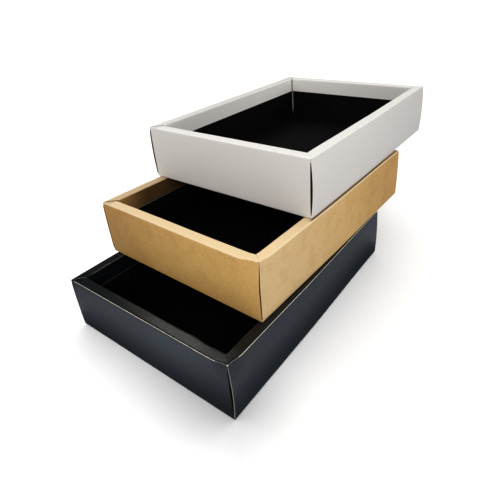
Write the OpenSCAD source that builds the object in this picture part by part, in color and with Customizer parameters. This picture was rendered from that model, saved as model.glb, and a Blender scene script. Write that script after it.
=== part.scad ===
// Three open food boxes of folded card, stacked and set back like stairs.
// Each box is a tray folded from one sheet, with a black liner tray inside.
// All lengths are millimetres, +Z is up, and the stack stands on z = 0.

/* [Box] */
// Width over the fold lines of the short sides
box_w = 180; // [120:1:260]
// Length over the fold lines of the long sides
box_l = 245; // [160:1:360]
// Height from the base to the top of the rim
box_h = 51; // [36:1:90]
// Thickness of the outer card
card_t = 0.8; // [0.5:0.05:1.2]
// Width of the flat rim on each side
rim_w = 10; // [6:0.5:18]
// Outside radius of every fold
fold_r = 1.4; // [1.3:0.05:2.5]
// Outward bulge of the short sides at half height
end_bow = 0.4; // [0:0.1:1.5]
// Gap between two sheets that meet at a corner seam
seam_gap = 0.3; // [0.1:0.05:0.8]
// Gap between the turned-down inner walls at each corner
flap_slit = 0.9; // [0.3:0.1:2]
// Gap from the lower edge of the inner walls to the base
flap_gap = 0.4; // [0.2:0.1:2]

/* [Liner] */
// Thickness of the liner's card
liner_t = 0.7; // [0.4:0.05:1]
// Gap between the liner and the inner walls
liner_gap = 0.3; // [0.1:0.05:0.6]
// Depth of the coloured strip that shows above the liner
strip_h = 16; // [6:0.5:24]
// Width of the liner's corner slits at their open top end
liner_slit = 0.9; // [0.3:0.1:2]

/* [Black box] */
// Outward bulge of its long sides at half height
black_bow = 2.4; // [0:0.1:4]
// Gap of its left mitre, the open corner seam
black_left_gap = 0.5; // [0.2:0.1:1.5]

/* [Kraft box] */
// Outward bulge of its long sides at half height
kraft_bow = 1.9; // [0:0.1:4]
// Gap of its left mitre, the open corner seam
kraft_left_gap = 1.1; // [0.2:0.1:1.5]
// Sideways shift from the box below
kraft_shift = -5.6; // [-12:0.1:12]
// Set-back from the box below
kraft_setback = 50.6; // [20:0.1:90]
// Turn on the box below, in degrees
kraft_turn = -1.53; // [-4:0.01:4]

/* [White box] */
// Outward bulge of its long sides at half height
white_bow = 2.7; // [0:0.1:4]
// Gap of its left mitre, the open corner seam
white_left_gap = 0.9; // [0.2:0.1:1.5]
// Sideways shift from the box below
white_shift = 0; // [-12:0.1:12]
// Set-back from the box below
white_setback = 68.6; // [20:0.1:90]
// Turn from the lowest box, in degrees
white_turn = -0.75; // [-4:0.01:4]

/* [Hidden] */

// Flat pieces in each rounded fold and in each bulging wall
fold_steps = 5;
bow_steps = 16;
// Part of each wall's base that is joined to the base plate
tongue = 2;
// Length that a cutter reaches past what it cuts
reach = 6;

// Heights of the rounded folds' centres
low_fold = fold_r;
high_fold = box_h - fold_r;
// Face of the inner walls and face of the liner that lie back to back
inner_face = rim_w;
liner_face = inner_face + liner_gap;
liner_top = box_h - strip_h;

// Places of the three boxes before the stack is centred on the origin
black_place = [0, 0, 0];
kraft_place = [kraft_shift, kraft_setback, box_h];
white_place = kraft_place + [white_shift, white_setback, box_h];

// Plan corners of one box, at the height where its sides bulge most
function plan(bow) = concat(
    [for (x = [-bow, box_w + bow]) for (y = [0, box_l]) [x, y]],
    [for (x = [0, box_w]) for (y = [-end_bow, box_l + end_bow]) [x, y]]
);
function turned(p, a) = [p[0] * cos(a) - p[1] * sin(a), p[0] * sin(a) + p[1] * cos(a)];
function placed(points, place, a) = [for (p = points) turned(p, a) + [place[0], place[1]]];
stack_plan = concat(
    placed(plan(black_bow), black_place, 0),
    placed(plan(kraft_bow), kraft_place, kraft_turn),
    placed(plan(white_bow), white_place, white_turn)
);
function middle(list) = (min(list) + max(list)) / 2;
stack_middle = [middle([for (p = stack_plan) p[0]]), middle([for (p = stack_plan) p[1]]), 0];

// Points of an arc, from angle a0 to angle a1
function arc(centre, r, a0, a1) = [
    for (i = [0 : fold_steps])
    let (a = a0 + (a1 - a0) * i / fold_steps)
    centre + r * [cos(a), sin(a)]
];

// Points of a wall face that stands at u and bulges outward by bow, from z0 to z1
function wall_face(u, bow, z0, z1) = [
    for (i = [1 : bow_steps - 1])
    let (k = 2 * i / bow_steps - 1)
    [u - bow * (1 - k * k), z0 + (z1 - z0) * i / bow_steps]
];

// Section through one side of the tray: base, wall, rim and turned-down inner wall.
// The first coordinate runs inward from the outer fold line, the second is height.
function tray_section(bow) = concat(
    [[fold_r + tongue, 0]],
    arc([fold_r, low_fold], fold_r, 270, 180),
    wall_face(0, bow, low_fold, high_fold),
    arc([fold_r, high_fold], fold_r, 180, 90),
    arc([inner_face - fold_r, high_fold], fold_r, 90, 0),
    [[inner_face, card_t + flap_gap], [inner_face - card_t, card_t + flap_gap]],
    arc([inner_face - fold_r, high_fold], fold_r - card_t, 0, 90),
    arc([fold_r, high_fold], fold_r - card_t, 90, 180),
    wall_face(card_t, bow, high_fold, low_fold),
    arc([fold_r, low_fold], fold_r - card_t, 180, 270),
    [[fold_r + tongue, card_t]]
);

// Section through one side of the liner, which stands on the tray's base
function liner_section() = concat(
    [[liner_face + fold_r + tongue, card_t]],
    arc([liner_face + fold_r, card_t + fold_r], fold_r, 270, 180),
    [[liner_face, liner_top], [liner_face + liner_t, liner_top]],
    arc([liner_face + fold_r, card_t + fold_r], fold_r - liner_t, 180, 270),
    [[liner_face + fold_r + tongue, card_t + liner_t]]
);

// Plan of one side: square ends outside the fold line, mitred ends inside it
function side_plan(length, cut0, cut1) =
    let (deep = inner_face + fold_r + tongue + reach)
    [
        [cut0, -reach], [length - cut1, -reach],
        [length - cut1, 0], [length - cut1 - deep, deep],
        [cut0 + deep, deep], [cut0, 0]
    ];

// One side of a sheet, lying along +X from the origin, cut back from its two corners.
// A gap across a mitre is the same on both sheets, so each gives up half of it.
module side(section, length, gap0, gap1) {
    cut0 = gap0 * sqrt(2) / 2;
    cut1 = gap1 * sqrt(2) / 2;
    intersection() {
        rotate([90, 0, 90])
            linear_extrude(height = length)
                polygon(section);
        translate([0, 0, -reach])
            linear_extrude(height = box_h + 2 * reach)
                polygon(side_plan(length, cut0, cut1));
    }
}

// Moves a side to its place round the box: 0 front, 1 right, 2 back, 3 left
module round_box(i) {
    corner = [[0, 0, 0], [box_w, 0, 0], [box_w, box_l, 0], [0, box_l, 0]];
    translate(corner[i])
        rotate(90 * i)
            children();
}

// Narrow slit on the diagonal of each corner, which parts the inner walls below the rim
module flap_slits() {
    slit_len = rim_w;
    slit_top = high_fold - card_t;
    for (i = [0 : 3])
        round_box(i)
            rotate(45)
                translate([(inner_face - card_t) * sqrt(2) - slit_len / 2, -flap_slit / 2, card_t])
                    cube([slit_len, flap_slit, slit_top - card_t]);
}

// Wedge on the diagonal of each corner, which opens the liner's corner upwards
module liner_slits() {
    foot = card_t + fold_r;
    brim = liner_top + reach;
    for (i = [0 : 3])
        round_box(i)
            rotate(45)
                translate([liner_face * sqrt(2) - reach, 0, 0])
                    rotate([90, 0, 90])
                        linear_extrude(height = 2 * reach)
                            polygon([[0, foot], [liner_slit / 2, brim], [-liner_slit / 2, brim]]);
}

// Outer sheet: a base with four bulging walls, mitred rims and turned-down inner walls
module tray(bow, left_gap) {
    long_sides = tray_section(bow);
    short_sides = tray_section(end_bow);
    translate([fold_r, fold_r, 0])
        cube([box_w - 2 * fold_r, box_l - 2 * fold_r, card_t]);
    difference() {
        union() {
            round_box(0) side(short_sides, box_w, left_gap, seam_gap);
            round_box(1) side(long_sides, box_l, seam_gap, seam_gap);
            round_box(2) side(short_sides, box_w, seam_gap, seam_gap);
            round_box(3) side(long_sides, box_l, seam_gap, left_gap);
        }
        flap_slits();
    }
}

// Liner: a lower black tray whose walls end below the rim and leave a strip showing
module liner() {
    section = liner_section();
    inset = liner_face + fold_r;
    translate([inset, inset, card_t])
        cube([box_w - 2 * inset, box_l - 2 * inset, liner_t]);
    difference() {
        union() {
            for (i = [0, 2]) round_box(i) side(section, box_w, seam_gap, seam_gap);
            for (i = [1, 3]) round_box(i) side(section, box_l, seam_gap, seam_gap);
        }
        liner_slits();
    }
}

// Puts a box in its place in the centred stack
module in_stack(place, turn) {
    translate(place - stack_middle)
        rotate(turn)
            children();
}

module black_tray() {
    color("#3a4148")
        in_stack(black_place, 0)
            tray(black_bow, black_left_gap);
}

module black_liner() {
    color("#131314")
        in_stack(black_place, 0)
            liner();
}

module kraft_tray() {
    color("#c49a62")
        in_stack(kraft_place, kraft_turn)
            tray(kraft_bow, kraft_left_gap);
}

module kraft_liner() {
    color("#131314")
        in_stack(kraft_place, kraft_turn)
            liner();
}

module white_tray() {
    color("#e9e8e5")
        in_stack(white_place, white_turn)
            tray(white_bow, white_left_gap);
}

module white_liner() {
    color("#131314")
        in_stack(white_place, white_turn)
            liner();
}

black_tray();
black_liner();
kraft_tray();
kraft_liner();
white_tray();
white_liner();
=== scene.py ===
from math import cos, pi, radians, sin, sqrt

import bmesh
import bpy
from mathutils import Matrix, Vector


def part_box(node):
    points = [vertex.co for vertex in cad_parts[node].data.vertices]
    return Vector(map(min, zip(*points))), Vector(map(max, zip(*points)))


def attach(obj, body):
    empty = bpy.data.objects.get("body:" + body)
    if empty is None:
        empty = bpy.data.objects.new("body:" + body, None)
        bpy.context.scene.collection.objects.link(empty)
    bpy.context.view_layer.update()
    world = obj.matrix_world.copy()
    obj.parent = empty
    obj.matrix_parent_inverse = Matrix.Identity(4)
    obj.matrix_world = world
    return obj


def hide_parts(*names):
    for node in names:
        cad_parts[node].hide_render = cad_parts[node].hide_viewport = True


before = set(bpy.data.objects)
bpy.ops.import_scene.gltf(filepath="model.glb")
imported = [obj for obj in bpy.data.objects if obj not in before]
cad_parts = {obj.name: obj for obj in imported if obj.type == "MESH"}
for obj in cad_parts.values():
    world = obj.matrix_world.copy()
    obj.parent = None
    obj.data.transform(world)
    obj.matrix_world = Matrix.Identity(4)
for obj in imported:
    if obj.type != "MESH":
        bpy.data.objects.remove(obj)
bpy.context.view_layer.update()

# Camera: stands off the near corner, a little above the stack, with a slight roll.
# Its place, turn and lens were worked out from the straight edges of the photograph,
# and its place is measured from the middle of the lowest box.
PHOTO_PX = 500
FOCAL_PX = 426.7
OPTICAL_CENTRE_PX = (254.62, 213.12)
CAMERA_OFFSET = Vector((0.23129, -0.25773, 0.26701))
CAMERA_TURN_DEG = (61.659, 4.021, 36.742)

low, high = [Vector(corner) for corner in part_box("black_tray")]
black_middle = Vector(((low.x + high.x) / 2, (low.y + high.y) / 2, low.z))
bpy.ops.object.select_all(action="DESELECT")
bpy.ops.object.camera_add(
    location=black_middle + CAMERA_OFFSET,
    rotation=[radians(a) for a in CAMERA_TURN_DEG],
)
camera = bpy.context.object
camera.name = "camera"
camera.data.sensor_width = 36.0
camera.data.lens = FOCAL_PX / PHOTO_PX * camera.data.sensor_width
camera.data.shift_x = (PHOTO_PX / 2 - OPTICAL_CENTRE_PX[0]) / PHOTO_PX
camera.data.shift_y = (OPTICAL_CENTRE_PX[1] - PHOTO_PX / 2) / PHOTO_PX
camera.data.clip_end = 200.0
scene = bpy.context.scene
scene.camera = camera
scene.view_settings.view_transform = "Standard"
scene.view_settings.look = "None"
scene.view_settings.gamma = 0.75

# Studio: a pale floor under a soft white sky that is brightest low down and behind the
# stack, with a soft lamp over the near corner and a small one behind, high on the left.
# Glossy card reflects a darker room and a cool floor that is shaded close to the box.
FLOOR_SIZE = 120.0
FLOOR_DROP = 0.0001
FLOOR_PALE = (0.87, 0.87, 0.87)
FLOOR_WHITE = (0.89, 0.89, 0.89)
FLOOR_BOUNCE = (0.50, 0.50, 0.50)
FLOOR_MIRRORED = (0.80, 0.87, 0.98)
# Where the reflected floor starts to dim, where it is dimmest, and the light left there.
MIRRORED_BY_BOX = (0.030, 0.0, 0.28)
MIRRORED_LEFT = (0.01, -0.19, 0.35)
MIRRORED_BACK = (-0.13, 0.22, 0.60)
# The same by the near corner, with its two places for X and its two for Y.
MIRRORED_CORNER = ((0.02, 0.10), (-0.115, -0.13), 0.60)
SHADOW_REACH = 0.07
SHADOW_RIGHT = (-0.04, 0.09)
SHADOW_FRONT = (-0.06, -0.13)
CORNER_SHADOW = 0.20
# Height in the sky, and brightness there.
SKY_STOPS = [(0.0, 1.9), (0.04, 1.9), (0.09, 1.27), (0.52, 1.27), (0.68, 1.32), (1.0, 1.32)]
SKY_LEAN = (-0.26, 0.36, 0.0)
SKY_MIRRORED = 0.04
LAMP_AIM = (0, 0.03, 0.06)
# Name, place, size, watts, and whether it also lights matt surfaces.
LAMPS = [
    ("corner softbox", (0.60, -0.80, 0.75), 0.50, 4.2, True),
    ("sheen softbox", (-0.765, 0.443, 1.009), 0.25, 1.0, False),
]


def wire(tree, kind, settings, **inputs):
    """Adds a node, sets it up, and feeds its inputs with numbers or other nodes' outputs.
    An input is given by its name, with _ for each space, or by its place, as _0."""
    node = tree.nodes.new("ShaderNode" + kind)
    for name, value in settings.items():
        setattr(node, name, value)
    for name, value in inputs.items():
        socket = node.inputs[int(name[1:])] if name[0] == "_" else node.inputs[name.replace("_", " ")]
        if isinstance(value, bpy.types.NodeSocket):
            tree.links.new(value, socket)
        else:
            socket.default_value = value
    return node.outputs


def maths(tree, operation, first, second=0.0, third=0.0):
    return wire(tree, "Math", {"operation": operation}, _0=first, _1=second, _2=third)[0]


def fade(tree, value, start, end):
    """Goes smoothly from 0 at start to 1 at end."""
    return wire(
        tree, "MapRange", {"interpolation_type": "SMOOTHSTEP"}, Value=value, From_Min=start, From_Max=end,
    )[0]


def mixed(tree, factor, first, second):
    """Colour that goes from first to second by the factor."""
    colours = [c if isinstance(c, bpy.types.NodeSocket) else (*c, 1.0) for c in (first, second)]
    return wire(tree, "Mix", {"data_type": "RGBA"}, Factor=factor, A=colours[0], B=colours[1])["Result"]


def shaded(tree, light, mask, level):
    """Light that falls to the level where the mask is 1."""
    return maths(tree, "MULTIPLY", light, maths(tree, "MULTIPLY_ADD", mask, level - 1.0, 1.0))


world = bpy.data.worlds.new("studio sky")
scene.world = world
world.use_nodes = True
sky = world.node_tree
sky.nodes.clear()
direction = wire(sky, "TexCoord", {})["Generated"]
lean = wire(sky, "VectorMath", {"operation": "DOT_PRODUCT"}, _0=direction, _1=SKY_LEAN)["Value"]
ramp = sky.nodes.new("ShaderNodeValToRGB")
sky.links.new(wire(sky, "SeparateXYZ", {}, _0=direction)["Z"], ramp.inputs["Fac"])
while len(ramp.color_ramp.elements) < len(SKY_STOPS):
    ramp.color_ramp.elements.new(0.5)
for stop, (place, level) in zip(ramp.color_ramp.elements, SKY_STOPS):
    stop.position = place
    stop.color = (level / 2, level / 2, level / 2, 1.0)
level = maths(sky, "MULTIPLY", ramp.outputs["Color"], maths(sky, "MULTIPLY_ADD", lean, 2.0, 2.0))
glossy = wire(sky, "LightPath", {})["Is Glossy Ray"]
level = shaded(sky, level, glossy, SKY_MIRRORED)
background = wire(sky, "Background", {}, Color=(1, 1, 1, 1), Strength=level)[0]
wire(sky, "OutputWorld", {}, Surface=background)

for lamp_name, place, size, watts, lights_matt in LAMPS:
    aim = black_middle + Vector(LAMP_AIM) - Vector(place)
    bpy.ops.object.light_add(type="AREA", location=place, rotation=aim.to_track_quat("-Z", "Y").to_euler())
    lamp = bpy.context.object
    lamp.name = lamp_name
    lamp.data.size = size
    lamp.data.energy = watts
    lamp.visible_diffuse = lights_matt

bpy.ops.object.select_all(action="DESELECT")
bpy.ops.mesh.primitive_plane_add(size=FLOOR_SIZE, location=(0, 0, -FLOOR_DROP))
floor = bpy.context.object
floor.name = "floor"

floor_paint = bpy.data.materials.new("pale floor")
floor_paint.use_nodes = True
tree = floor_paint.node_tree
shader = tree.nodes["Principled BSDF"]
shader.inputs["Roughness"].default_value = 0.9
shader.inputs["Specular IOR Level"].default_value = 0.0
spot = wire(tree, "TexCoord", {})["Object"]
from_middle = wire(tree, "VectorMath", {"operation": "SUBTRACT"}, _0=spot, _1=black_middle)["Vector"]
on_floor = wire(tree, "SeparateXYZ", {}, _0=from_middle)
from_side = wire(tree, "VectorMath", {"operation": "ABSOLUTE"}, _0=from_middle)["Vector"]
from_side = wire(tree, "VectorMath", {"operation": "SUBTRACT"}, _0=from_side, _1=(high - low) / 2)["Vector"]
from_side = wire(tree, "SeparateXYZ", {}, _0=from_side)
from_side = maths(tree, "MAXIMUM", from_side["X"], from_side["Y"])

lit = 1.0
for value, (start, end, level) in (
    (from_side, MIRRORED_BY_BOX), (on_floor["X"], MIRRORED_LEFT), (on_floor["Y"], MIRRORED_BACK),
):
    lit = shaded(tree, lit, fade(tree, value, start, end), level)
corner_x, corner_y, level = MIRRORED_CORNER
by_corner = maths(
    tree, "MULTIPLY", fade(tree, on_floor["X"], *corner_x), fade(tree, on_floor["Y"], *corner_y),
)
lit = shaded(tree, lit, by_corner, level)
mirrored = mixed(tree, lit, (0, 0, 0), FLOOR_MIRRORED)

shadow = fade(tree, from_side, SHADOW_REACH, 0.0)
shadow = maths(tree, "MULTIPLY", shadow, fade(tree, on_floor["X"], *SHADOW_RIGHT))
shadow = maths(tree, "MULTIPLY", shadow, fade(tree, on_floor["Y"], *SHADOW_FRONT))
patches = wire(tree, "TexNoise", {}, Vector=spot, Scale=3.0)["Fac"]
seen = mixed(tree, patches, FLOOR_PALE, FLOOR_WHITE)
seen = mixed(tree, maths(tree, "MULTIPLY", shadow, CORNER_SHADOW), seen, (0, 0, 0))

path = wire(tree, "LightPath", {})
colour = mixed(tree, path["Is Glossy Ray"], FLOOR_BOUNCE, mirrored)
colour = mixed(tree, path["Is Camera Ray"], colour, seen)
tree.links.new(colour, shader.inputs["Base Color"])
from_below = wire(tree, "NewGeometry", {})["Backfacing"]
tree.links.new(maths(tree, "SUBTRACT", 1.0, from_below), shader.inputs["Alpha"])
floor.data.materials.append(floor_paint)

# Black tray: the lowest box, folded up from one sheet of black laminated card.
# Its base stays flat, and each side is folded up, turned in as the rim and down again
# inside. The corners are only cut, so their seams stand a little open.
BOX_WIDTH = 0.180
BOX_LENGTH = 0.245
CARD = 0.0008
FOLD_RADIUS = 0.0014
RIM_WIDTH = 0.010
INNER_WALL_FOOT = 0.0012
SEAM_GAP = 0.0003
NEAR_GAP = 0.00004
WALL_CUT = 0.0003
FLAP_SLIT = 0.0009
END_BOW = 0.0004
BLACK_BOW = 0.0024
BLACK_LEFT_GAP = 0.0005
BLACK_CARD = (0.006, 0.0095, 0.0125)
BLACK_SCUFF = (0.020, 0.022, 0.022)
# Dust and painted sheen on the front rim.
BLACK_DUST_AND_SHEEN = (0.045, 0.045, 0.039)
BLACK_CORE = (0.62, 0.58, 0.50)
BLACK_EDGE = (0.26, 0.255, 0.24)
BLACK_REVERSE_AND_SEAM_SHADE = (0.02, 0.018, 0.016)
STEP = 0.005
FOLD_STEPS = 5
WALL_STEPS = 16
SEAM_ZONE = 0.002
WALL_END_OUT = 0.0001
FRONT_ZONE = 0.012
RIM_CUT = 0.00003
# Place across the rim, as a part of its width, and how far the cut end stands back there.
RAGGED_RIM = ((0.22, 0.00005), (0.34, -0.00006), (0.46, 0.00009), (0.60, -0.00002), (0.74, 0.00010))
CARD_WAVE = 0.0003
WAVE_SIZE = 0.035
WAVE_RISE = 0.02
SMOOTH_DEG = 35
# Part of the bow that is kept by the left wall, by the front of the right wall and its back.
BLACK_BULGE = (0.35, 0.62, 0.40)
# How far the front wall ends short at its left seam and at its right one.
BLACK_SEAMS = (0.0003, 0.0007)

box_height = high.z - low.z
NICK = (BOX_WIDTH / 2 - 0.0004, -BOX_LENGTH / 2 + 0.0004, box_height - 0.0004)
# A dent is a spot on the box, its reach along each axis, and how far it pushes the card.
FAR_SIDE_DENT = ((0.090, 0.1225, 0.030), (0.100, 0.150, 0.200), (-0.0018, 0, 0))
BLACK_DENTS = [
    (NICK, (0.0145, 0.0145, 0.016), (-0.0017, 0.0017, 0.0005)),
    ((0.064, -0.1125, 0.050), (0.009, 0.004, 0.006), (0, -0.0007, 0)),
    ((0.050, -0.1125, 0.050), (0.009, 0.004, 0.006), (0, 0.0005, 0)),
    FAR_SIDE_DENT,
]


def quarter_fold(inward, height, start_deg, end_deg):
    """Rows round a fold's centre, as (inward, height, end cut), without the first one."""
    rows = []
    for i in range(1, FOLD_STEPS + 1):
        a = radians(start_deg + (end_deg - start_deg) * i / FOLD_STEPS)
        rows.append((inward + FOLD_RADIUS * cos(a), height + FOLD_RADIUS * sin(a), 0.0))
    return rows


def tray_rows(bow):
    """Rows of one side, from the base up and over the rim to the foot of the inner wall."""
    top = box_height - FOLD_RADIUS
    rows = quarter_fold(FOLD_RADIUS, FOLD_RADIUS, 270, 180)
    for i in range(1, WALL_STEPS):
        k = 2 * i / WALL_STEPS - 1
        rows.append((-bow * (1 - k * k), FOLD_RADIUS + (top - FOLD_RADIUS) * i / WALL_STEPS, WALL_CUT))
    rows.append((0.0, top, WALL_CUT))
    rows += quarter_fold(FOLD_RADIUS, top, 180, 90)
    for part, ragged_end in RAGGED_RIM:
        rows.append((RIM_WIDTH * part, box_height, ragged_end))
    rows.append((RIM_WIDTH - FOLD_RADIUS, box_height, RIM_CUT))
    rows += [(*row[:2], WALL_CUT) for row in quarter_fold(RIM_WIDTH - FOLD_RADIUS, top, 90, 0)]
    slit = (FLAP_SLIT - SEAM_GAP) / sqrt(2)
    for height in (top - CARD, top - 0.005, top - 0.012, 0.018, INNER_WALL_FOOT):
        rows.append((RIM_WIDTH, height, slit))
    return rows


def folded_sheet(name, base_height, base_inset, short_rows, long_rows, corner_gaps):
    """A sheet folded up from a flat base. corner_gaps go left, front, right, back."""
    bpy.ops.object.select_all(action="DESELECT")
    base_size = (BOX_WIDTH - 2 * base_inset, BOX_LENGTH - 2 * base_inset)
    bpy.ops.mesh.primitive_grid_add(
        x_subdivisions=round(base_size[0] / STEP),
        y_subdivisions=round(base_size[1] / STEP),
        size=1,
        location=(0, 0, base_height),
    )
    sheet = bpy.context.object
    sheet.name = sheet.data.name = name
    sheet.scale = (base_size[0], base_size[1], 1)
    bpy.ops.object.transform_apply(location=True, rotation=True, scale=True)
    bpy.ops.object.mode_set(mode="EDIT")
    bpy.ops.mesh.select_mode(type="EDGE")
    for side in range(4):
        outward = Vector((round(-cos(pi / 2 * (side + 1))), round(-sin(pi / 2 * (side + 1))), 0))
        along = Vector((-outward.y, outward.x, 0))
        rows = long_rows if side % 2 else short_rows
        side_length = BOX_LENGTH if side % 2 else BOX_WIDTH
        base_edge = (BOX_WIDTH if side % 2 else BOX_LENGTH) / 2 - base_inset
        cuts = [corner_gaps[side] / sqrt(2), corner_gaps[(side + 1) % 4] / sqrt(2)]
        bm = bmesh.from_edit_mesh(sheet.data)
        for edge in bm.edges:
            edge.select_set(all(
                abs(v.co.dot(outward) - base_edge) < 1e-6 and abs(v.co.z - base_height) < 1e-6
                for v in edge.verts
            ))
        bmesh.update_edit_mesh(sheet.data)
        inward, height, ends = base_inset, base_height, (base_inset, base_inset)
        for next_inward, next_height, slit in rows:
            next_ends = [max(next_inward, 0) + cut + slit for cut in cuts]
            slide = (next_ends[0] - next_ends[1] - ends[0] + ends[1]) / 2
            move = outward * (inward - next_inward) + along * slide
            move.z = next_height - height
            bpy.ops.mesh.extrude_edges_move(TRANSFORM_OT_translate={"value": move})
            stretch = (side_length - sum(next_ends)) / (side_length - sum(ends))
            bpy.ops.transform.resize(
                value=[stretch if abs(part) > 0.5 else 1 for part in along],
                center_override=along * (next_ends[0] - next_ends[1]) / 2,
            )
            inward, height, ends = next_inward, next_height, next_ends
    bpy.ops.mesh.select_all(action="SELECT")
    bpy.ops.mesh.normals_make_consistent(inside=False)
    bm = bmesh.from_edit_mesh(sheet.data)
    if min(bm.faces, key=lambda face: face.calc_center_median().length).normal.z > 0:
        bpy.ops.mesh.flip_normals()
    bpy.ops.object.mode_set(mode="OBJECT")
    flat_place = sheet.data.attributes.new("flat place", "FLOAT_VECTOR", "POINT")
    for v in sheet.data.vertices:
        flat_place.data[v.index].vector = v.co
    return sheet


def ease_bulge(sheet, left, right_front, right_back):
    """Eases the bulge of the two long walls, to the given parts of the full bulge."""
    for v in sheet.data.vertices:
        bulge = abs(v.co.x) - BOX_WIDTH / 2
        if bulge > 0:
            far = min(max(v.co.y / BOX_LENGTH + 0.5, 0.0), 1.0)
            kept = left if v.co.x < 0 else right_front + (right_back - right_front) * far
            v.co.x += (bulge * kept - bulge) * (1 if v.co.x > 0 else -1)


def open_seams(sheet, left, right):
    """Brings the left wall's cut end out past the front wall, and ends the front wall short."""
    for v in sheet.data.vertices:
        if FOLD_RADIUS * 2 < v.co.z < box_height - FOLD_RADIUS * 1.2:
            if v.co.x < 1e-5 - BOX_WIDTH / 2 and v.co.y < SEAM_ZONE - BOX_LENGTH / 2:
                v.co.y = WALL_END_OUT - BOX_LENGTH / 2
            elif v.co.y < 1e-5 - BOX_LENGTH / 2 and abs(v.co.x) > BOX_WIDTH / 2 - SEAM_ZONE:
                v.co.x += left if v.co.x < 0 else -right


def press(sheet, spot, reach, push):
    """Presses the card by push at a spot, fading to nothing at the reach."""
    for v in sheet.data.vertices:
        away = Vector([(a - b) / c for a, b, c in zip(v.co, spot, reach)]).length
        if away < 1:
            v.co += Vector(push) * (1 - away * away) ** 2


def box_middle(box):
    """Middle of the box's base."""
    box_low, box_high = [Vector(corner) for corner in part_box(box + "_tray")]
    return Vector(((box_low.x + box_high.x) / 2, (box_low.y + box_high.y) / 2, box_low.z))


def finish_sheet(sheet, box, part, card, turn_deg=0.0, wave=0.0, shade_whole_left_seam=False):
    """Sets the sheet down in its box's place, gives it a slight wave and then its thickness.
    The cut ends that stand back in the front seams are given the darker reverse, as painted shade in the
    seams."""
    middle = box_middle(box)
    sheet.rotation_euler = (0, 0, radians(turn_deg))
    sheet.location = middle
    bpy.ops.object.transform_apply(location=True, rotation=True, scale=True)
    if wave:
        loose = sheet.vertex_groups.new(name="loose")
        base = min(v.co.z for v in sheet.data.vertices)
        for v in sheet.data.vertices:
            loose.add([v.index], min(max((v.co.z - base - FOLD_RADIUS) / WAVE_RISE, 0.0), 1.0), "REPLACE")
        clouds = bpy.data.textures.new(sheet.name + " wave", "CLOUDS")
        clouds.noise_scale = WAVE_SIZE
        clouds.noise_depth = 1
        waves = sheet.modifiers.new("wave", "DISPLACE")
        waves.texture = clouds
        waves.vertex_group = loose.name
        waves.mid_level = 1.0
        waves.strength = wave
        bpy.ops.object.modifier_apply(modifier=waves.name)
        sheet.vertex_groups.clear()
    solid = sheet.modifiers.new("card", "SOLIDIFY")
    solid.thickness = card
    solid.offset = -1
    solid.use_even_offset = True
    solid.material_offset_rim = 1
    solid.material_offset = 2
    bpy.ops.object.modifier_apply(modifier=solid.name)
    # Painted shade in the front seams: their cut ends take the dark reverse.
    for face in sheet.data.polygons:
        spot = face.center - middle
        in_front = spot.y + abs(spot.x) * sin(radians(turn_deg)) < FRONT_ZONE - BOX_LENGTH / 2
        if face.material_index != 1 or not in_front or spot.z <= FOLD_RADIUS:
            continue
        in_left_seam = shade_whole_left_seam or spot.z < box_height - FOLD_RADIUS
        if spot.x > 0 and face.normal.x > 0.5 or spot.x < 0 and face.normal.y < -0.3 and in_left_seam:
            face.material_index = 2
    bpy.ops.object.shade_smooth_by_angle(angle=radians(SMOOTH_DEG))
    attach(sheet, "root")
    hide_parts(box + part)


def new_group(name, inputs, outputs):
    """A shader node group. Its sockets are floats, or vectors where the name has a capital."""
    group = bpy.data.node_groups.new(name, "ShaderNodeTree")
    for direction, names in (("INPUT", inputs), ("OUTPUT", outputs)):
        for socket in names:
            kind = "NodeSocketVector" if socket[0].isupper() else "NodeSocketFloat"
            group.interface.new_socket(socket, in_out=direction, socket_type=kind)
    return group, group.nodes.new("NodeGroupInput"), group.nodes.new("NodeGroupOutput")


def cloud(tree, place, scale, detail=3.0, rough=0.5, distortion=0.0):
    """Soft noise, with its scale in patches a metre."""
    shape = {"Scale": scale, "Detail": detail, "Roughness": rough, "Distortion": distortion}
    return wire(tree, "TexNoise", {}, Vector=place, **shape)["Fac"]


# Where a point lies on a box: how far in from the nearest outer fold line, and how high.
box_places, given, result = new_group("box places", ["Place"], ["inward", "height"])
parts = wire(box_places, "SeparateXYZ", {}, _0=given.outputs["Place"])
from_side = maths(box_places, "SUBTRACT", BOX_WIDTH / 2, maths(box_places, "ABSOLUTE", parts["X"]))
from_end = maths(box_places, "SUBTRACT", BOX_LENGTH / 2, maths(box_places, "ABSOLUTE", parts["Y"]))
box_places.links.new(maths(box_places, "MINIMUM", from_side, from_end), result.inputs["inward"])
box_places.links.new(parts["Z"], result.inputs["height"])

# Card grain: pressed fibres a millimetre or two long, and the cloudy look-through of card.
card_grain, given, result = new_group(
    "card grain", ["Place", "fibre scale", "cloud scale"], ["fibres", "flecks", "clouds"],
)
fibres = cloud(card_grain, given.outputs["Place"], given.outputs["fibre scale"], 5.0, 0.62, 1.6)
fine = maths(card_grain, "MULTIPLY", given.outputs["fibre scale"], 2.3)
flecks = cloud(card_grain, given.outputs["Place"], fine, 2.0, 0.5, 2.5)
card_grain.links.new(fade(card_grain, fibres, 0.28, 0.72), result.inputs["fibres"])
card_grain.links.new(fade(card_grain, flecks, 0.60, 0.72), result.inputs["flecks"])
card_grain.links.new(
    cloud(card_grain, given.outputs["Place"], given.outputs["cloud scale"], 3.0, 0.55),
    result.inputs["clouds"],
)

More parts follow.
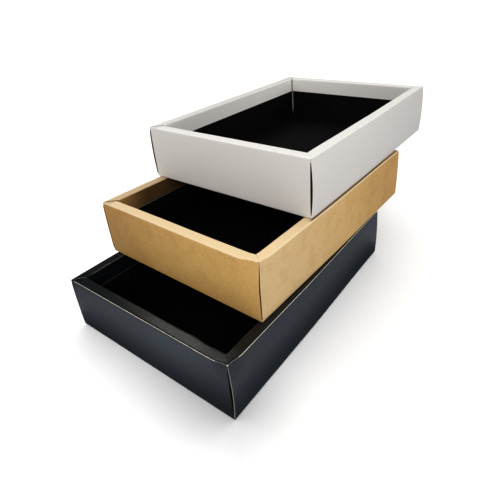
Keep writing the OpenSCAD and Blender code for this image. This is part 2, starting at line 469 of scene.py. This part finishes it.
# Fold wear: a thin line along a fold where the coating is rubbed through, broken up by noise.
fold_wear, given, result = new_group(
    "fold wear", ["Place", "inward", "height", "line inward", "line height", "width", "breaks"], ["wear"],
)
across = maths(fold_wear, "SUBTRACT", given.outputs["inward"], given.outputs["line inward"])
upward = maths(fold_wear, "SUBTRACT", given.outputs["height"], given.outputs["line height"])
across = maths(fold_wear, "MULTIPLY", across, across)
upward = maths(fold_wear, "MULTIPLY", upward, upward)
distance = maths(fold_wear, "SQRT", maths(fold_wear, "ADD", across, upward))
ragged = maths(fold_wear, "MULTIPLY", cloud(fold_wear, given.outputs["Place"], 900.0, 3.0), 2.0)
reach = maths(fold_wear, "MULTIPLY", given.outputs["width"], ragged)
line = fade(fold_wear, distance, maths(fold_wear, "MULTIPLY", reach, 0.35), reach)
line = maths(fold_wear, "SUBTRACT", 1.0, line)
patches = cloud(fold_wear, given.outputs["Place"], 130.0, 4.0, 0.6)
worn_from = given.outputs["breaks"]
patches = fade(fold_wear, patches, worn_from, maths(fold_wear, "ADD", worn_from, 0.12))
fold_wear.links.new(maths(fold_wear, "MULTIPLY", line, patches), result.inputs["wear"])

# How far in from its outer faces the middle of a rounded fold lies.
FOLD_LINE = FOLD_RADIUS * (1 - 1 / sqrt(2))


class CardPaint:
    """One card finish: its material, and the node outputs that every finish starts from."""

    def __init__(self, name, fibre_scale, cloud_scale):
        self.material = bpy.data.materials.new(name)
        self.material.use_nodes = True
        self.tree = self.material.node_tree
        self.shader = self.tree.nodes["Principled BSDF"]
        self.place = wire(self.tree, "Attribute", {"attribute_name": "flat place"})["Vector"]
        self.point = wire(self.tree, "TexCoord", {})["Object"]
        self.places = self.group(box_places, Place=self.place)
        self.local = wire(self.tree, "SeparateXYZ", {}, _0=self.place)
        self.grain = self.group(
            card_grain, Place=self.point, fibre_scale=fibre_scale, cloud_scale=cloud_scale,
        )

    def group(self, group, **inputs):
        """Adds a shared group and feeds its inputs."""
        node = self.tree.nodes.new("ShaderNodeGroup")
        node.node_tree = group
        for name, value in inputs.items():
            socket = node.inputs[name.replace("_", " ")]
            if isinstance(value, bpy.types.NodeSocket):
                self.tree.links.new(value, socket)
            else:
                socket.default_value = value
        return node.outputs

    def fold(self, line_inward, line_height, width, breaks):
        """Wear along one fold line that runs round the box."""
        return self.group(
            fold_wear, Place=self.point, inward=self.places["inward"], height=self.places["height"],
            line_inward=line_inward, line_height=line_height, width=width, breaks=breaks,
        )["wear"]

    def fade(self, axis, start, end):
        """Goes from 0 to 1 along one of the box's own axes."""
        return fade(self.tree, self.local[axis], start, end)

    def rim(self):
        """The flat rim round the top."""
        return self.fade("Z", box_height - 0.0012, box_height - 0.0002)

    def left_rim(self):
        """The rim along the left side."""
        return self.times(self.rim(), self.fade("X", -0.078, -0.081))

    def right_wall(self):
        """The outside of the right wall."""
        return self.fade("X", BOX_WIDTH / 2 - 0.0015, BOX_WIDTH / 2 - 0.0003)

    def times(self, *factors):
        """All the factors multiplied."""
        product = factors[0]
        for factor in factors[1:]:
            product = maths(self.tree, "MULTIPLY", product, factor)
        return product

    def blend(self, factor, first, second, amount=1.0):
        """Colour that goes from first to second by the factor times the amount."""
        if amount != 1.0:
            factor = maths(self.tree, "MULTIPLY", factor, amount)
        return mixed(self.tree, factor, first, second)

    def finish(self, colour, roughness, height, bump_depth, specular):
        """Feeds the shader, and gives back the material."""
        self.tree.links.new(colour, self.shader.inputs["Base Color"])
        self.tree.links.new(roughness, self.shader.inputs["Roughness"])
        self.shader.inputs["Specular IOR Level"].default_value = specular
        bump = self.tree.nodes.new("ShaderNodeBump")
        bump.inputs["Distance"].default_value = bump_depth
        bump.inputs["Strength"].default_value = 1.0
        self.tree.links.new(height, bump.inputs["Height"])
        self.tree.links.new(bump.outputs[0], self.shader.inputs["Normal"])
        return self.material


def plain_card(name, colour, fibre_tone):
    """Cut edges and reverses: bare card with no coating, its fibres lighter by the tone."""
    second = [c * fibre_tone for c in colour]
    paint = CardPaint(name, 700.0, 60.0)
    tone = paint.blend(paint.grain["fibres"], colour, second)
    tone = paint.blend(paint.grain["clouds"], tone, [c * 0.82 for c in second], 0.5)
    rough = maths(paint.tree, "MULTIPLY_ADD", paint.grain["clouds"], 0.15, 0.63)
    return paint.finish(tone, rough, paint.grain["fibres"], bump_depth=0.00004, specular=0.08)


black_tray = folded_sheet(
    "black_card_tray", 0.0, FOLD_RADIUS, tray_rows(END_BOW), tray_rows(BLACK_BOW),
    (BLACK_LEFT_GAP, NEAR_GAP, SEAM_GAP, SEAM_GAP),
)
ease_bulge(black_tray, *BLACK_BULGE)
open_seams(black_tray, *BLACK_SEAMS)
for dent in BLACK_DENTS:
    press(black_tray, *dent)

paint = CardPaint("black laminated card", 900.0, 35.0)
tree = paint.tree
from_nick = wire(tree, "VectorMath", {"operation": "DISTANCE"}, _0=paint.place, _1=NICK)["Value"]
worn = paint.fold(FOLD_LINE, box_height - FOLD_LINE, 0.00034, 0.20)
worn = paint.times(worn, maths(tree, "MULTIPLY_ADD", fade(tree, from_nick, 0.0105, 0.0125), 0.65, 0.35))
ragged = maths(tree, "MULTIPLY", cloud(tree, paint.point, 1400.0, 3.0), 0.0023)
nick = maths(tree, "SUBTRACT", 1.0, fade(tree, from_nick, 0.0003, ragged))
left_corner = (-BOX_WIDTH / 2, -BOX_LENGTH / 2, box_height)
from_left = wire(tree, "VectorMath", {"operation": "DISTANCE"}, _0=paint.place, _1=left_corner)["Value"]
worn = paint.times(worn, fade(tree, from_left, 0.003, 0.006))
inner = paint.fold(RIM_WIDTH - FOLD_LINE, box_height - FOLD_LINE, 0.00022, 0.22)
inner_left = paint.times(inner, paint.fade("X", -0.060, -0.070), paint.fade("Y", -0.110, -0.104))
inner_right = paint.times(
    inner, paint.fade("X", 0.060, 0.070), paint.fade("Y", -0.100, -0.098), paint.fade("Y", -0.085, -0.087),
)
# Dust and painted sheen in streaks along the right part of the front rim, fading out before the near corner.
streaks = cloud(tree, wire(tree, "Mapping", {}, _0=paint.point, Scale=(0.12, 1.0, 1.0))[0], 1500.0, 4.0, 0.65)
front_rim = paint.times(
    paint.fade("Z", box_height - 0.0008, box_height - 0.0002), paint.fade("X", -0.05, 0.06),
    paint.fade("Y", -0.112, -0.113),
)
dust_and_sheen = paint.times(front_rim, fade(tree, streaks, 0.35, 0.70), paint.fade("X", 0.088, 0.052))
tone = paint.blend(paint.grain["clouds"], BLACK_CARD, BLACK_SCUFF, 0.25)
tone = paint.blend(dust_and_sheen, tone, BLACK_DUST_AND_SHEEN)
tone = paint.blend(maths(tree, "MAXIMUM", inner_left, inner_right), tone, BLACK_CORE, 0.4)
tone = paint.blend(maths(tree, "MAXIMUM", worn, nick), tone, BLACK_CORE)
rough = maths(tree, "MULTIPLY_ADD", paint.grain["clouds"], 0.10, 0.23)
rough = maths(tree, "MULTIPLY_ADD", worn, 0.4, rough)
coated = paint.finish(tone, rough, paint.grain["fibres"], bump_depth=0.00001, specular=0.5)
black_tray.data.materials.append(coated)
black_tray.data.materials.append(plain_card("black card cut edge", BLACK_EDGE, 1.3))
black_tray.data.materials.append(plain_card("black card reverse and seam shade", BLACK_REVERSE_AND_SEAM_SHADE, 1.5))
finish_sheet(black_tray, "black", "_tray", CARD, wave=CARD_WAVE)

# Kraft tray: the middle box, folded the same way from bare brown kraft card.
# The card is uncoated, so its fibres show, and its folds are rubbed lighter.
KRAFT_BOW = 0.0019
KRAFT_LEFT_GAP = 0.0014
KRAFT_TURN_DEG = -1.53
KRAFT_WALL = (0.675, 0.455, 0.183)
KRAFT_DARK = (0.50, 0.31, 0.11)
# Pale kraft: painted sheen on the rim and the right wall's near end, and the rubbed folds.
KRAFT_SHEEN_AND_RUBBED = (0.70, 0.585, 0.40)
# Darker brown for painted shade and for random smears.
KRAFT_SHADE_AND_MOTTLE = (0.38, 0.205, 0.07)
KRAFT_LEFT_RIM_SHADE = (0.50, 0.37, 0.22)
# Dark brown for painted shadows under the white box.
KRAFT_PAINTED_SHADOW = (0.13, 0.07, 0.025)
KRAFT_FLECK = (0.36, 0.20, 0.07)
KRAFT_EDGE = (0.10, 0.05, 0.02)
KRAFT_REVERSE_AND_SEAM_SHADE = (0.20, 0.095, 0.022)
KRAFT_BULGE = (0.40, 0.20, 0.35)
KRAFT_SEAMS = (0.0002, 0.0003)
LEFT_SIDE_DENT = ((-0.090, -0.1225, 0.026), (0.060, 0.060, 0.090), (0.0014, 0, 0))
KRAFT_DENTS = [
    FAR_SIDE_DENT,
    LEFT_SIDE_DENT,
    ((-0.090, -0.1225, 0.051), (0.150, 0.065, 0.045), (0, 0, 0.0010)),
    ((0.0896, -0.1221, 0.0506), (0.018, 0.016, 0.020), (-0.0006, 0.0022, 0.0014)),
]

kraft_tray = folded_sheet(
    "kraft_card_tray", 0.0, FOLD_RADIUS, tray_rows(END_BOW), tray_rows(KRAFT_BOW),
    (KRAFT_LEFT_GAP, NEAR_GAP, SEAM_GAP, SEAM_GAP),
)
ease_bulge(kraft_tray, *KRAFT_BULGE)
open_seams(kraft_tray, *KRAFT_SEAMS)
for dent in KRAFT_DENTS:
    press(kraft_tray, *dent)

paint = CardPaint("kraft card", 620.0, 45.0)
tree = paint.tree
worn = paint.fold(FOLD_LINE, box_height - FOLD_LINE, 0.0011, 0.30)
tone = paint.blend(paint.grain["fibres"], KRAFT_DARK, KRAFT_WALL)
tone = paint.blend(paint.grain["clouds"], tone, KRAFT_WALL, 0.6)
right_wall = paint.right_wall()
# Painted sheen: the right wall grows paler towards the near corner.
tone = paint.blend(paint.times(right_wall, paint.fade("Y", 0.10, -0.13)), tone, KRAFT_SHEEN_AND_RUBBED, 0.5)
# Painted shade low down, except on the right wall, and towards the far end of the right wall. The card is
# also darker towards the left. All of it is broken up by large clouds.
low_shade = paint.times(paint.fade("Z", 0.030, 0.0), maths(tree, "SUBTRACT", 1.0, right_wall), 0.45)
far_right_shade = paint.times(right_wall, paint.fade("Y", -0.020, 0.120), 0.55)
dim = maths(tree, "MAXIMUM", paint.fade("X", 0.035, -0.10), low_shade)
dim = maths(tree, "MAXIMUM", dim, far_right_shade)
dim = paint.times(dim, cloud(tree, paint.point, 28.0, 4.0, 0.6), 1.5)
tone = paint.blend(dim, tone, KRAFT_SHADE_AND_MOTTLE, 0.8)
# Random darker smears in the same brown.
smears = fade(tree, cloud(tree, paint.point, 80.0, 5.0, 0.65, 0.3), 0.46, 0.66)
tone = paint.blend(smears, tone, KRAFT_SHADE_AND_MOTTLE, 0.16)
# Painted shadow from the white box on the inside of the left wall, darkening towards the back.
inside = paint.times(
    paint.fade("Y", -0.120, -0.078), paint.fade("X", -0.0815, -0.0803),
    paint.fade("Z", 0.0508, 0.0495), paint.fade("X", -0.050, -0.060),
)
tone = paint.blend(inside, tone, KRAFT_PAINTED_SHADOW)
# Painted sheen: the flat rim paler than the walls.
tone = paint.blend(paint.rim(), tone, KRAFT_SHEEN_AND_RUBBED, 0.75)
# Painted shade: the left rim darker and greyer.
tone = paint.blend(paint.left_rim(), tone, KRAFT_LEFT_RIM_SHADE, 0.75)
tone = paint.blend(paint.grain["flecks"], tone, KRAFT_FLECK, 0.3)
tone = paint.blend(worn, tone, KRAFT_SHEEN_AND_RUBBED, 0.7)
# Painted contact shadow: a thin dark line on the right rim's outer edge under the white box.
contact_shadow = paint.times(
    paint.fade("Z", box_height - 0.00020, box_height - 0.00003),
    paint.fade("Y", -0.056, -0.050), paint.fade("X", 0.086, 0.088),
)
tone = paint.blend(contact_shadow, tone, KRAFT_PAINTED_SHADOW, 0.9)
rough = maths(tree, "MULTIPLY_ADD", paint.grain["clouds"], 0.12, 0.58)
bare = paint.finish(tone, rough, paint.grain["fibres"], bump_depth=0.00003, specular=0.35)
kraft_tray.data.materials.append(bare)
kraft_tray.data.materials.append(plain_card("kraft card cut edge", KRAFT_EDGE, 1.3))
kraft_tray.data.materials.append(plain_card("kraft card reverse and seam shade", KRAFT_REVERSE_AND_SEAM_SHADE, 1.3))
finish_sheet(kraft_tray, "kraft", "_tray", CARD, KRAFT_TURN_DEG, wave=CARD_WAVE, shade_whole_left_seam=True)

# White tray: the top box, folded the same way from white card with a matt coating.
# Its long sides bulge most, so its front seam stands open as a narrow lens.
WHITE_BOW = 0.0027
WHITE_LEFT_GAP = 0.0011
WHITE_TURN_DEG = -0.75
WHITE_CARD = (0.675, 0.655, 0.63)
WHITE_SOFT = (0.645, 0.62, 0.59)
WHITE_RUBBED = (0.74, 0.73, 0.71)
WHITE_SHADE = (0.57, 0.55, 0.525)
WHITE_PAINTED_LIGHT = (0.86, 0.835, 0.80)
WHITE_EDGE = (0.66, 0.65, 0.63)
WHITE_REVERSE_AND_SEAM_SHADE = (0.16, 0.09, 0.07)
WHITE_BULGE = (0.45, 0.62, 0.45)
WHITE_SEAMS = (0.0005, 0.0007)

white_tray = folded_sheet(
    "white_card_tray", 0.0, FOLD_RADIUS, tray_rows(END_BOW), tray_rows(WHITE_BOW),
    (WHITE_LEFT_GAP, NEAR_GAP, SEAM_GAP, SEAM_GAP),
)
ease_bulge(white_tray, *WHITE_BULGE)
open_seams(white_tray, *WHITE_SEAMS)
press(white_tray, *FAR_SIDE_DENT)

paint = CardPaint("white coated card", 800.0, 40.0)
worn = paint.fold(FOLD_LINE, box_height - FOLD_LINE, 0.0009, 0.35)
tone = paint.blend(paint.grain["clouds"], WHITE_CARD, WHITE_SOFT, 0.6)
tone = paint.blend(paint.grain["fibres"], tone, WHITE_SOFT, 0.25)
tone = paint.blend(worn, tone, WHITE_RUBBED, 0.7)
# Painted shade: the right wall darker towards its far end, and the left rim darker.
far_right_shade = paint.times(paint.right_wall(), paint.fade("Y", -0.050, 0.120))
tone = paint.blend(far_right_shade, tone, WHITE_SHADE, 0.55)
tone = paint.blend(paint.left_rim(), tone, WHITE_SHADE, 0.7)
# Painted light: the inner walls lighter towards the back and the left.
inner_wall_light = paint.times(
    fade(paint.tree, paint.places["inward"], RIM_WIDTH - 0.0008, RIM_WIDTH - 0.0002),
    paint.fade("Y", -0.120, 0.080), paint.fade("X", 0.090, -0.070),
)
tone = paint.blend(inner_wall_light, tone, WHITE_PAINTED_LIGHT)
rough = maths(paint.tree, "MULTIPLY_ADD", paint.grain["clouds"], 0.12, 0.48)
coated = paint.finish(tone, rough, paint.grain["fibres"], bump_depth=0.000012, specular=0.4)
white_tray.data.materials.append(coated)
white_tray.data.materials.append(plain_card("white card cut edge", WHITE_EDGE, 1.15))
white_tray.data.materials.append(plain_card("white card reverse and seam shade", WHITE_REVERSE_AND_SEAM_SHADE, 1.3))
finish_sheet(white_tray, "white", "_tray", CARD, WHITE_TURN_DEG, wave=CARD_WAVE, shade_whole_left_seam=True)

# Liners: a lower tray of thinner black card stands inside each box. Its walls end below
# the rim, its corners are slit open, and its cut edges are the grey of the card's core.
# The bare core shows as a light line down each back corner.
LINER_CARD = 0.0007
LINER_GAP = 0.0003
LINER_DEPTH = 0.016
LINER_SLIT = 0.0003
SLIT_REACH = 0.006
LINER_WALL_STEPS = 8
LINER_BLACK = (0.0035, 0.0035, 0.0037)
LINER_GREY = (0.010, 0.010, 0.010)
LINER_CORE = (0.80, 0.80, 0.81)
LINER_EDGE = {"black": (0.06, 0.06, 0.06), "kraft": (0.16, 0.16, 0.165), "white": (0.12, 0.12, 0.12)}
LINER_DENTS = {"black": [], "kraft": [LEFT_SIDE_DENT], "white": []}

liner_face = RIM_WIDTH + LINER_GAP
liner_top = box_height - LINER_DEPTH
liner_fold = CARD + FOLD_RADIUS


def liner_rows():
    """Rows of one liner side. Its corner slit opens from nothing at the base fold upwards."""
    rows = quarter_fold(liner_face + FOLD_RADIUS, liner_fold, 270, 180)
    for i in range(1, LINER_WALL_STEPS + 1):
        height = liner_fold + (liner_top - liner_fold) * i / LINER_WALL_STEPS
        opening = LINER_SLIT * (height - liner_fold) / (liner_top + SLIT_REACH - liner_fold)
        rows.append((liner_face, height, opening / sqrt(2) + LINER_CARD))
    return rows


for box, turn_deg in (("black", 0.0), ("kraft", KRAFT_TURN_DEG), ("white", WHITE_TURN_DEG)):
    liner = folded_sheet(
        box + "_box_liner", CARD, liner_face + FOLD_RADIUS, liner_rows(), liner_rows(), (SEAM_GAP,) * 4,
    )
    for dent in [FAR_SIDE_DENT, *LINER_DENTS[box]]:
        press(liner, *dent)

    paint = CardPaint(box + " box liner card", 800.0, 30.0)
    tone = paint.blend(paint.grain["clouds"], LINER_BLACK, LINER_GREY, 0.5)
    tone = paint.blend(paint.grain["flecks"], tone, LINER_GREY, 0.4)
    back_corner = paint.times(
        fade(paint.tree, maths(paint.tree, "ABSOLUTE", paint.local["X"]), 0.0780, 0.0785),
        paint.fade("Y", 0.1104, 0.1109), paint.fade("Z", 0.004, 0.016),
    )
    tone = paint.blend(back_corner, tone, LINER_CORE)
    rough = maths(paint.tree, "MULTIPLY_ADD", paint.grain["clouds"], 0.15, 0.5)
    face = paint.finish(tone, rough, paint.grain["fibres"], bump_depth=0.00001, specular=0.3)
    edge = plain_card(box + " box liner cut edge", LINER_EDGE[box], 1.4)
    for material in (face, edge, face):
        liner.data.materials.append(material)
    finish_sheet(liner, box, "_liner", LINER_CARD, turn_deg)
